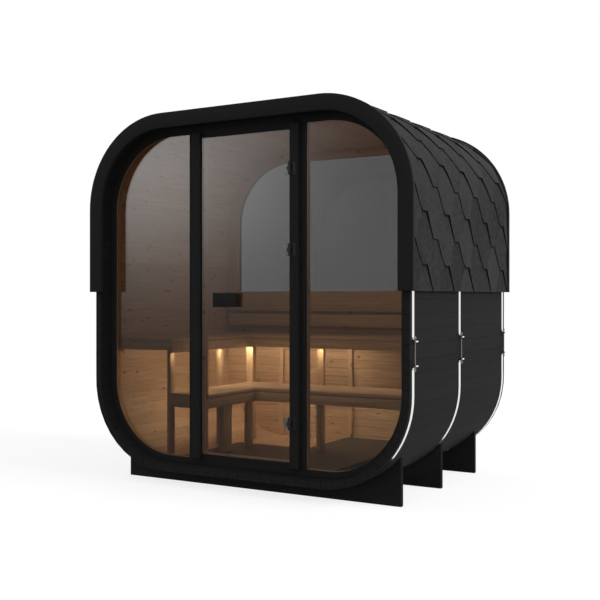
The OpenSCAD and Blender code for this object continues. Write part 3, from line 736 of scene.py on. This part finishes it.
def roofing():
    """The starter on both sides, every course, and the ridge over their upper ends."""
    courses = range(int(ROOF_HALF / EXPOSURE))
    starters = [course(-1, side) for side in (-1, 1)]
    return starters + [course(k, side) for side in (-1, 1) for k in courses] + ridge()


piece("roof_underlay", rim_bar(smooth_ts(EDGE_T, 10 - EDGE_T, 20), (0.4 * MM, BODY_LOW[1]),
                               (ROOF_T - 18 * MM, BODY_HIGH[1]), 1 * MM), BITUMEN)
piece("shingle_courses", roofing(), [GRANULES, BITUMEN], ROOF_NODES)

for name, y0 in (("front", FASCIA_Y0), ("rear", BODY_HIGH[1])):
    piece(f"fascia_board_{name}", rim_bar(smooth_ts(EDGE_T, 10 - EDGE_T, 24), (ROOF_T - FASCIA_W, y0),
                                          (ROOF_T, y0 + FASCIA_T), 3 * MM, 2),
          FRAME_BLACK, [f"fascia_{name}"])


# ---------------- glass front

OUTSIDE, INSIDE = (FRONT_Y, SPLIT_Y), (SPLIT_Y, FRAME_Y1)
STOP_Z = (SILL_HIGH.z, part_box("door_head")[0].z)
JAMB_BATTEN = 58 * MM                              # width of the battens beside the door


def layered(box, axis):
    """A frame board: its part before the glass plane is black and its part behind it bare."""
    (x0, y0, z0), (x1, y1, z1) = box
    return [bars([block((x0, x1), ys, (z0, z1))], axis, mat=mat)
            for mat, ys in enumerate(((y0, SPLIT_Y), (SPLIT_Y, y1)))]


for name, side, x in (("left", -1, -JAMB_X[0]), ("right", 1, JAMB_X[1])):
    start = x / (ROOM[0] - ROOM[3])                # where the jamb stands on the bottom flat
    ts = smooth_ts(start, 5 - start)
    ts = ts if side > 0 else 10 - ts[::-1]
    piece(f"frame_ring_{name}", [frame_bar(ts, OUTSIDE, ROOM, PANE, mat=0),
                                 frame_bar(ts, INSIDE, ROOM, PANE, mat=1)],
          [FRAME_BLACK, SPRUCE], [f"front_frame_{name}"])

for name, z_edge in (("door_sill", GLASS_LOW.z), ("door_head", GLASS_HIGH.z)):
    low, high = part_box(name)
    away, inward = (low.z, high.z) if name == "door_sill" else (high.z, low.z)
    board, stop = (block((low.x, high.x), (low.y, high.y), (z, z_edge)) for z in (away, inward))
    piece(name + "_board", layered(board, 0) + [bars([stop], 0, 1.5 * MM, mat=1)],
          [FRAME_BLACK, SPRUCE], [name])

for name, side, x_door in (("left", -1, JAMB_X[0]), ("right", 1, JAMB_X[1])):
    low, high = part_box("mullion_" + name)
    far, near = (low.x, high.x) if side < 0 else (high.x, low.x)
    post = block((x_door, far), (FRONT_Y, FRAME_Y1), (low.z, high.z))
    lip = block((x_door, near), (FRONT_Y, FRAME_Y1), STOP_Z)
    batten = block((x_door, x_door + side * JAMB_BATTEN), (low.y, FRONT_Y), (low.z, high.z))
    piece(f"mullion_{name}_boards", layered(post, 2) + [bars([lip], 2, 1.5 * MM, mat=1),
                                                        bars([batten], 2, 2.5 * MM, 2)],
          [FRAME_BLACK, SPRUCE], ["mullion_" + name])

for name in ("glass_left", "glass_right"):
    frame["nodes"][name].data.materials[0] = FRONT_GLASS
frame["nodes"]["rear_window_glass"].data.materials[0] = REAR_GLASS_TINT
piece("door_pane", bars([(GLASS_LOW, GLASS_HIGH)], 2, 1.2 * MM), FRONT_GLASS,
      ["door_glass"], "door")


# ---------------- door fittings

CLIPS = solid_boxes("door_clips")
PLATES = solid_boxes("hinge_plates")
HINGE_X, HINGE_Y = frame["joints"][0]["pos_m"][:2]
KNUCKLE = 9 * MM
LEAF = 4 * MM


def handle(node):
    """A handle block with rounded edges on two turned standoffs that reach to the glass."""
    low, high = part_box(node)
    outside = node.endswith("outer")
    gap, deep, inset = 12, 24 * MM, 30 * MM        # the gap is in millimetres, as the profile is
    ys = (low.y, low.y + deep) if outside else (high.y - deep, high.y)
    y0 = high.y - gap * MM if outside else low.y
    profile = mm((9, 0), (9, 2), (6.5, 3), (6.5, gap - 3), (9, gap - 2), (9, gap))
    centres = [(x, y0, (low.z + high.z) / 2) for x in (low.x + inset, high.x - inset)]
    return [bars([block((low.x, high.x), ys, (low.z, high.z))], 0, 4 * MM, 3, end=3 * MM),
            lathe(profile, centres, 1, 20, mat=1)]


def knuckle(z0, z1, mat=0):
    """A turned hinge barrel with slightly rounded ends."""
    return lathe(barrel(KNUCKLE, z0, z1, 0.8 * MM), [(HINGE_X, HINGE_Y, 0)], 2, 24, mat)


def screws(x, y, zs):
    """Flat screw heads with a round recess, on a face that looks along -y."""
    profile = mm((3.6, 0), (3.6, -0.54), (3.1, -0.9), (1.6, -0.9), (1.4, -0.27))
    return lathe(profile, [(x, y, z) for z in zs], 1, 16)


def clip_parts():
    """Each clamp: a steel plate on the glass, a black web to the axis and the middle barrel."""
    parts = []
    face, edge = GLASS_LOW.y, GLASS_HIGH.x
    for (low, high), (leaf_low, leaf_high) in zip(CLIPS, PLATES):
        third = (leaf_high[2] - leaf_low[2]) / 3
        zs = (leaf_low[2] + third + 1 * MM, leaf_high[2] - third - 1 * MM)
        parts += [bars([block((low[0], edge), (face - LEAF, face), (low[2], high[2]))], 2, 1 * MM),
                  bars([block((edge - LEAF, edge), (HINGE_Y, face), zs)], 2, 0.8 * MM, mat=1),
                  bars([block((edge - LEAF, HINGE_X), (HINGE_Y - LEAF / 2, HINGE_Y + LEAF / 2), zs)], 2,
                       0.8 * MM, mat=1),
                  knuckle(*zs, 1),
                  screws((low[0] + edge) / 2, face - LEAF, (zs[0] - 5 * MM, zs[1] + 5 * MM))]
    return parts


def plate_parts():
    """Each jamb plate: a leaf with two screws, and the end barrels on their short leaves."""
    parts = []
    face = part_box("mullion_right")[0].y
    inner = HINGE_X + KNUCKLE + 2 * MM
    for low, high in PLATES:
        third = (high[2] - low[2]) / 3
        screw_zs = (low[2] + third * 0.8, high[2] - third * 0.8)
        parts.append(bars([block((inner, high[0]), (face - LEAF, face), (low[2], high[2]))], 2, 1 * MM))
        for z0 in (low[2], high[2] - third):
            parts += [bars([block((HINGE_X, inner), (face - LEAF, face), (z0, z0 + third))], 2, 0.8 * MM),
                      knuckle(z0, z0 + third)]
        parts.append(screws((inner + high[0]) / 2, face - LEAF, screw_zs))
    return parts


for name, node, finish, slot in (("door_handle_front", "door_handle_outer", FRAME_BLACK, "handle_black"),
                                 ("door_handle_back", "door_handle_inner", BENCH, "warm_wood")):
    piece(name, handle(node), [finish, COAT], [node], "door")
piece("hinge_clamps", clip_parts(), [STAINLESS, COAT], ["door_clips"], "door")
piece("hinge_leaves", plate_parts(), COAT, ["hinge_plates"])


# ---------------- rear wall

def room_half(z):
    """Half the room's width at height z, less where the lower corners curve in."""
    half, low, _, radius = ROOM
    drop = np.clip(low + radius - z, 0, radius)
    return half - radius + np.sqrt(radius ** 2 - drop ** 2)


def rear_planks():
    """Tongued boards across the rear wall, their ends cut to the shell: bare inside, black outside."""
    pitch, anchor, gap = 57 * MM, 681 * MM, 0.5 * MM   # anchor is the height of one joint
    first = anchor - math.ceil((anchor - REAR_LOW[2]) / pitch) * pitch
    edges = np.unique(np.clip(np.arange(first, REAR_HIGH[2] + pitch, pitch), REAR_LOW[2], REAR_HIGH[2]))
    low = np.stack([np.full(len(edges) - 1, REAR_LOW[1]), edges[:-1] + JOINT], -1)
    high = np.stack([np.full(len(edges) - 1, REAR_HIGH[1]), edges[1:] - JOINT], -1)
    y, z = np.moveaxis(eased(low, high, 1.6 * MM)[:, None], -1, 0)
    x = np.array([-1, 1])[:, None] * (room_half(z) - gap)
    mats = np.zeros((1, 1, 8), int)
    mats[:, :, 5:8] = 1
    return tubes(np.stack(np.broadcast_arrays(x, y, z), -1), mats)


def upright_outline(outline):
    """The same outline with its sides starting at the window's lower edge, so that t is 2 and 8 there."""
    half, _, high, radius = outline
    return half, WINDOW_Z - radius, high, radius


piece("rear_wall_planks", rear_planks(), [BLACK, SPRUCE], ["rear_wall_boards"])
piece("rear_window_boards",
      [frame_bar(smooth_ts(2, 8, 20), ys, upright_outline(ROOM), upright_outline(WINDOW), mat=mat)
       for mat, ys in ((1, (REAR_LOW[1], REAR_SPLIT)), (0, (REAR_SPLIT, REAR_HIGH[1])))],
      [FRAME_BLACK, SPRUCE], ["rear_window_frame"])
piece("rear_wall_uprights", boards(solid_boxes("rear_wall_battens")), SPRUCE,
      ["rear_wall_battens"])


# ---------------- floor and benches

def deck_boards():
    """Floorboards across the room, edge to edge, on each of the floor's two rectangles. The rear one
    starts further right, where the floor is cut back."""
    low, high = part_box("floor_deck")
    points = corners("floor_deck")
    step_x = points[np.argmin(np.abs(points[:, 0])), 0]
    step_y = points[np.abs(points[:, 0] - step_x) < 1 * MM, 1].min()
    front = split(((low.x, low.y, low.z), (high.x, step_y, high.z)), 1, 7, JOINT)
    rear = split(((step_x, step_y + JOINT, low.z), (high.x, high.y, high.z)), 1, 6, JOINT)
    return bars(front + rear, 0, 0.7 * MM, end=0.5 * MM)


def slatted_seat(node, left_count, rear_count):
    """Seat boards along the left arm and along the rear arm, with 8 mm gaps. The board at the open
    edge has a rounded nose. A cross-section's corners run from (low, low) to (low, high), in (z, x)
    for the left arm and in (y, z) for the rear one."""
    gap, nose, soft = 8 * MM, 11 * MM, 2.5 * MM
    left, rear = sorted(solid_boxes(node), key=lambda box: box[0][1])
    left, rear = split(left, 0, left_count, gap), split(rear, 1, rear_count, gap)
    return [bars(left[:-1], 1, soft, 2), bars(left[-1:], 1, [soft, soft, nose, nose], 4),
            bars(rear[1:], 0, soft, 2), bars(rear[:1], 0, [nose, soft, soft, nose], 4)]


piece("duckboards", deck_boards(), DECK, ["floor_deck"])
for tier, counts in (("upper", (4, 3)), ("lower", (3, 4))):
    node = tier + "_bench_seats"
    piece(tier + "_seat_slats", slatted_seat(node, *counts), BENCH, [node])
for node in ("upper_bench_frame", "lower_bench_frame", "bench_legs", "backrest"):
    piece(node + "_boards", boards(solid_boxes(node), 3 * MM, 2), BENCH, [node])

LAMPS = [0.5 * (low + high) for low, high in solid_boxes("bench_lights")]
LAMPS.sort(key=lambda centre: centre[0] + centre[1])    # along the bench, from its front end
LAMP_T = 6                                         # millimetres
lamp_base = np.array(LAMPS) - [0, 0, LAMP_T * MM / 2]
piece("lamp_lenses", [lathe(mm((2, 0), (5, 0.8), (6.5, 2.5), (6.5, 3)), lamp_base, 2, 20, mat=0),
                      lathe(mm((6.6, 1), (7.6, 1), (8, 1.6), (8, LAMP_T), (6.6, LAMP_T), (6.6, 1.2)),
                            lamp_base, 2, 24, mat=1)],
      [LENS, STAINLESS], ["bench_lights"])


# ---------------- bands and cradles

STRIP_T = 1 * MM
LUG_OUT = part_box("band_front")[1].x - BODY[0]
LUG_BEND, LUG_LEAN, ROLL_R = 8 * MM, math.radians(60), 5 * MM
ROD_OUT, NUT_R = 11 * MM, 7.2                      # the nut's radius is in millimetres


def lug_path(way):
    """The strip's way from the wall to the lug's tip, as (distance out, height from the tip's): up the
    wall, round an arc until it leans out by LUG_LEAN and straight on; way is -1 for the lower lug."""
    angles = np.linspace(0, LUG_LEAN, 6)
    out, rise = LUG_BEND * (1 - np.cos(angles)), LUG_BEND * np.sin(angles)
    end = LUG_OUT - ROLL_R
    rise = np.append(rise, rise[-1] + (end - out[-1]) / math.tan(LUG_LEAN))
    return np.append(out, end), way * (rise[-1] - rise)


def strip(x, z, y0, y1, outer_side=1):
    """A strip whose underside follows a path in (x, z) and whose face is one thickness off it, along
    the path's normal; its section has eased edges."""
    path = np.stack([x, z], -1)
    step = np.gradient(path, axis=0)
    length = np.linalg.norm(step, axis=1, keepdims=True)
    normal = np.stack([step[:, 1], -step[:, 0]], -1) / length * outer_side
    section = eased((0, y0), (STRIP_T, y1), 0.3 * MM)
    cut_edges = np.array([1, 1, 1, 0, 1, 1, 1, 0])           # the others are the two faces
    points = path[:, None] + normal[:, None] * section[None, :, :1]
    y = np.broadcast_to(section[:, 1], points.shape[:2])
    return tubes(np.stack([points[..., 0], y, points[..., 1]], -1)[None], cut_edges)


def band(node):
    """A steel strip under the body and up both sides, with its ends bent outwards, and the short
    strips above them up to the roof. A strip is a thin rounded rectangle carried along the outline,
    and each end is rolled round a pin."""
    low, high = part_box(node)
    z_low, z_high = LUG_Z[node]
    out, fall = lug_path(-1)
    x, z = rim(smooth_ts(0, side_t(z_low + fall[0] - 1 * MM), 20))
    x, z = np.concatenate([x, BODY[0] + out]), np.concatenate([z, z_low + fall])
    parts = [strip(np.concatenate([-x[:0:-1], x]), np.concatenate([z[:0:-1], z]), low.y, high.y)]
    out, rise = lug_path(1)
    for side in (-1, 1):
        parts.append(strip(side * (BODY[0] + np.append(out[::-1], 0.0)),
                           np.append(z_high + rise[::-1], high.z), low.y, high.y, side))
        rolls = [(side * (BODY[0] + LUG_OUT - ROLL_R), 0, z_tip) for z_tip in (z_low, z_high)]
        parts.append(lathe(barrel(ROLL_R, low.y, high.y, 0.6 * MM), rolls, 1, 14))
    return parts


def tensioners(node):
    """Threaded rods between the lugs with a nut and washer at each end. The thread is a zigzag of the
    radius along the rod, and a nut is a turned piece with six sides."""
    low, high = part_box(node)
    set_back = (LUG_OUT - ROD_OUT + NUT_R * MM) / math.tan(LUG_LEAN) + 3 * MM    # nuts bear on the slopes
    z_low, z_high = LUG_Z[node][0] - set_back, LUG_Z[node][1] + set_back
    reach, pitch = 14 * MM, 1.25 * MM
    turns = int((z_high - z_low + 2 * reach) / pitch)
    rod = [(4 * MM - (k % 2) * 0.6 * MM, z_low - reach + k * pitch / 2) for k in range(2 * turns + 1)]
    centres = [(side * (BODY[0] + ROD_OUT), (low.y + high.y) / 2, 0) for side in (-1, 1)]
    nut = mm((6.4, 1.2), (NUT_R, 1.8), (NUT_R, 5.6), (6.4, 6.4))
    washer = mm((8.2, 0), (8.4, 0.3), (8.4, 0.9), (8.2, 1.2))
    return [lathe(rod, centres, 2, 12),
            *(lathe(profile * (1, way) + (0, z), centres, 2, sides)
              for z, way in ((z_low, -1), (z_high, 1)) for profile, sides in ((nut, 6), (washer, 20)))]


def lug_heights(node):
    """The heights of a band's lower and upper lugs, from the corners that stand out furthest."""
    points = corners(node)
    z = points[points[:, 0] > points[:, 0].max() - 1 * MM][:, 2]
    middle = 0.5 * (z.min() + z.max())
    return z[z < middle].max(), z[z > middle].min()


BANDS = ("band_front", "band_middle", "band_rear")
LUG_Z = {node: lug_heights(node) for node in BANDS}
for node in BANDS:
    piece(node.replace("band", "steel_band"), band(node), [STRIP, CUT_STEEL], [node])
    piece(node.replace("band", "tensioners"), tensioners(node), ZINC)


def cradle(node):
    """A plank on edge under the body: an eased rectangle carried from end to end, whose upper side
    follows the body's rounded underside. Both ends are closed by the same rectangle, a little smaller."""
    low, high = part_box(node)
    end, gap = 1.5 * MM, 0.2 * MM
    turn = np.arcsin(np.clip((high.x - BODY[0] + CORNER) / CORNER, -1, 1)) / (math.pi / 2)
    x, top = rim(np.append(0, np.linspace(1, 1 + turn, 15)))
    x = np.concatenate([-x[:0:-1], x])
    top = np.concatenate([top[:0:-1], top]) - gap
    full = eased(np.stack([0 * x + low.y, 0 * x], -1), np.stack([0 * x + high.y, top], -1), 1.5 * MM)
    rings = np.concatenate([np.broadcast_to(x[:, None, None], (*full.shape[:2], 1)), full], -1)
    middle = rings[[0, -1]].mean(1, keepdims=True)
    ends = middle + (rings[[0, -1]] - middle) * [1, 1 - 2 * end / (high.y - low.y), 1 - 2 * end / top[0]]
    ends[0, :, 0], ends[1, :, 0] = low.x, high.x
    rings[0, :, 0] += end
    rings[-1, :, 0] -= end
    return tubes(np.concatenate([ends[:1], rings, ends[1:]])[None], cap=1)


for node in ("cradle_front", "cradle_middle", "cradle_rear"):
    piece(node + "_plank", cradle(node), [FRAME_BLACK, END_BLACK], [node])


# ---------------- camera, light and floor

AMBIENT = 0.6
FLOOR_HALF, FLOOR_GREY, FLOOR_GLOW = 60.0, 0.28, 0.8
CARD_X, CARD_Y, CARD_Z = (-14.0, 1.3), (-0.95, -9.0), (0.01, 5.0)
CARD_RISE = ((0, 0), (0.48, 0.05), (0.9, 0.1), (1.58, 0.27), (2.47, 0.7), (3.34, 1.0))    # height, share
CARD_GLOW_X = (-3.0, -7.8)
CARD_GLOW, CARD_BASE = 1.8, 0.105


def seen_rays(tree):
    """One for a ray that the camera, a reflection or a see-through material sends, else nought."""
    rays = add(tree, "LightPath").node.outputs
    seen = add(tree, "Math", {"operation": "MAXIMUM"}, {0: rays["Is Camera Ray"], 1: rays["Is Glossy Ray"]})
    return add(tree, "Math", {"operation": "MAXIMUM"}, {0: seen, 1: rays["Is Transmission Ray"]})


def world():
    """White to the eye and in reflections, and a plain grey for diffuse light."""
    made = bpy.data.worlds.new("studio")
    bpy.context.scene.world = made
    made.use_nodes = True
    tree = made.node_tree
    tree.nodes.clear()
    plain, white = (add(tree, "Background", inputs={"Color": grey(1.0), "Strength": strength})
                    for strength in (AMBIENT, 1.0))
    mixed = add(tree, "MixShader", inputs={0: seen_rays(tree), 1: plain, 2: white})
    add(tree, "OutputWorld", inputs={"Surface": mixed})


def stage_piece(name, verts, faces, material):
    """A mesh of the stage, not of the object."""
    mesh = bpy.data.meshes.new(name)
    mesh.from_pydata(verts, [], faces)
    mesh.materials.append(material)
    obj = bpy.data.objects.new(name, mesh)
    bpy.context.scene.collection.objects.link(obj)
    return obj


def floor():
    """A wide pale floor that shows white to the eye and takes a soft shadow."""
    material, tree = new_material("studio_floor")
    matt = add(tree, "BsdfDiffuse", inputs={"Color": grey(FLOOR_GREY)})
    lit = add(tree, "Math", {"operation": "MULTIPLY"}, {0: seen_rays(tree), 1: FLOOR_GLOW})
    glow = add(tree, "Emission", inputs={"Color": grey(1.0), "Strength": lit})
    finished(material, add(tree, "AddShader", inputs={0: matt, 1: glow}))
    ends = [(x * FLOOR_HALF, y * FLOOR_HALF, 0) for x, y in ((-1, -1), (1, -1), (1, 1), (-1, 1))]
    stage_piece("studio_floor", ends, [(0, 1, 2, 3)], material)


def front_card():
    """A card that only reflections see: it lies before the sauna and stands up in front of it. It is
    dim, with a glow that grows upwards and to the left, which gives the glass its soft sheen."""
    material, tree = new_material("front_card")
    place = add(tree, "TexCoord", out="Object")
    axes = add(tree, "SeparateXYZ", inputs={"Vector": place}).node.outputs
    height = add(tree, "MapRange", inputs={"Value": axes["Z"], "From Max": CARD_Z[1]})
    up = add(tree, "ValToRGB", {"stops": [(z / CARD_Z[1], grey(share)) for z, share in CARD_RISE]},
             {"Fac": height})
    left = add(tree, "MapRange", {"interpolation_type": "SMOOTHSTEP"},
               {"Value": axes["X"], "From Min": CARD_GLOW_X[0], "From Max": CARD_GLOW_X[1]})
    both = add(tree, "Math", {"operation": "MULTIPLY"}, {0: up, 1: left})
    strong = add(tree, "Math", {"operation": "MULTIPLY_ADD"}, {0: both, 1: CARD_GLOW, 2: CARD_BASE})
    finished(material, add(tree, "Emission", inputs={"Color": grey(1.0), "Strength": strong}))
    (x0, x1), (near, far), (z0, z1) = CARD_X, CARD_Y, CARD_Z
    card = stage_piece("front_card", [(x0, near, z0), (x1, near, z0), (x1, far, z0), (x0, far, z0),
                                      (x1, far, z1), (x0, far, z1)], [(0, 1, 2, 3), (3, 2, 4, 5)], material)
    card.visible_camera = card.visible_diffuse = card.visible_shadow = False
    card.visible_transmission = False


world()
floor()
front_card()

KEY_FROM = (0.86, 0.10, 0.50)                      # the direction that the key light comes from
WARM = (1.0, 0.93, 0.74)
POST_WARM = (1.0, 0.88, 0.64)
WINDOW_LIGHT = (1.0, 0.97, 0.93)
UPPER_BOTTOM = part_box("upper_bench_frame")[0].z
UNDER_UPPER = UPPER_BOTTOM + 25 * MM
UNDER_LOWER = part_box("lower_bench_frame")[0].z + 15 * MM
UPPER_EDGE_X, UPPER_EDGE_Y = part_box("bench_lights")[0].x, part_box("bench_lights")[1].y
LOWER_EDGE_Y = solid_boxes("lower_bench_seats")[1][0][1]
# Each lamp's light on its post: how far it turns from +X towards the front, and the near and far watts
POST_LIGHT = [(0, 0.35, 0.15), (math.radians(45), 1.5, 1.9), (math.radians(75), 1.8, 2.6),
              (math.radians(75), 1.3, 0.5), (math.radians(75), 1.3, 0.5)]
POST_NEAR, POST_FAR = 38 * MM, 150 * MM            # how far from the lamp those two lights stand
POST_DOWN = 0.95                                   # how far they look down for each metre back
STRIP_LIGHT_W = 40 * MM


def lamp(name, kind, place, aim, **settings):
    """A lamp at a place, with its -Z turned along aim: tilted up from straight down by the angle
    between them, then turned to aim's side. Only the key light may show in reflections."""
    data = bpy.data.lights.new(name, kind)
    for key, value in settings.items():
        setattr(data, key, value)
    made = bpy.data.objects.new(name, data)
    made.location = place
    made.rotation_euler = (math.acos(-aim[2] / np.linalg.norm(aim)), 0, math.atan2(-aim[0], aim[1]))
    made.visible_camera = made.visible_glossy = kind == "SUN"
    bpy.context.scene.collection.objects.link(made)


def inside_lights():
    """Warm strips under both benches that wash the walls, the daylight that comes in by the glass
    front and from the pale ceiling, and two spots before each lamp, aimed back at its post."""
    back, edge = 90 * MM, 60 * MM
    under = UPPER_BOTTOM - 6 * MM
    strips = [("upper_rear", (-0.42, UPPER_EDGE_Y + back, UNDER_UPPER), (0, 0.6, -0.42), 1.2, 3.0),
              ("upper_left", (UPPER_EDGE_X - back, -0.16, UNDER_UPPER), (-0.6, 0, -0.42), 0.8, 1.2),
              ("lower_rear", (0, LOWER_EDGE_Y + back, UNDER_LOWER), (0, 0.9, -0.32), 1.4, 2.8),
              ("lower_left", (UPPER_EDGE_X - 110 * MM, -0.3, UNDER_LOWER), (-0.6, 0, -0.32), 0.6, 0.42),
              ("seat_rear", (0, UPPER_EDGE_Y - edge, under), (0, -0.6, -1), 1.4, 2.2),
              ("seat_left", (UPPER_EDGE_X + edge, -0.2, under), (0.6, 0, -1), 0.7, 1.2)]
    soft = [(*row, STRIP_LIGHT_W, WARM) for row in strips]
    front, ceiling = (0.1, FRAME_Y1 + 95 * MM, 1.25), (0.1, 0, ROOM[2] - 20 * MM)
    soft += [("daylight_front", front, np.subtract((0.1, 0.6, 1.12), front), 1.1, 2.6, 1.3, WINDOW_LIGHT),
             ("daylight_ceiling", ceiling, (0, 0, -ceiling[2]), 1.0, 3.4, 1.0, WINDOW_LIGHT)]
    for name, place, aim, size, power, size_y, colour in soft:
        lamp(name, "AREA", place, aim, shape="RECTANGLE", size=size, size_y=size_y, energy=power,
             color=colour)
    for centre, (turn, near, far) in zip(LAMPS, POST_LIGHT):
        ahead = np.array((math.cos(turn), -math.sin(turn), 0))
        for reach, power in ((POST_FAR, far), (POST_NEAR, near)):
            place = (centre + reach * ahead) * [1, 1, 0] + [0, 0, under]
            lamp("lamp", "SPOT", place, -ahead - [0, 0, POST_DOWN], energy=power, color=POST_WARM,
                 shadow_soft_size=6 * MM, spot_size=math.radians(90), spot_blend=0.15)


lamp("key", "SUN", (0, 0, 0), np.negative(KEY_FROM), energy=1.7, angle=math.radians(25))
inside_lights()

camera_data = bpy.data.cameras.new("camera")
camera_data.lens = 57.15
camera_data.sensor_width = 36.0
camera_data.shift_y = -0.0047
camera = bpy.data.objects.new("camera", camera_data)
camera.location = (2.9972, -5.2157, 1.1142)
camera.rotation_euler = (math.pi / 2, 0, math.radians(30.14))
bpy.context.scene.collection.objects.link(camera)
bpy.context.scene.camera = camera
bpy.context.scene.view_settings.view_transform = "Standard"
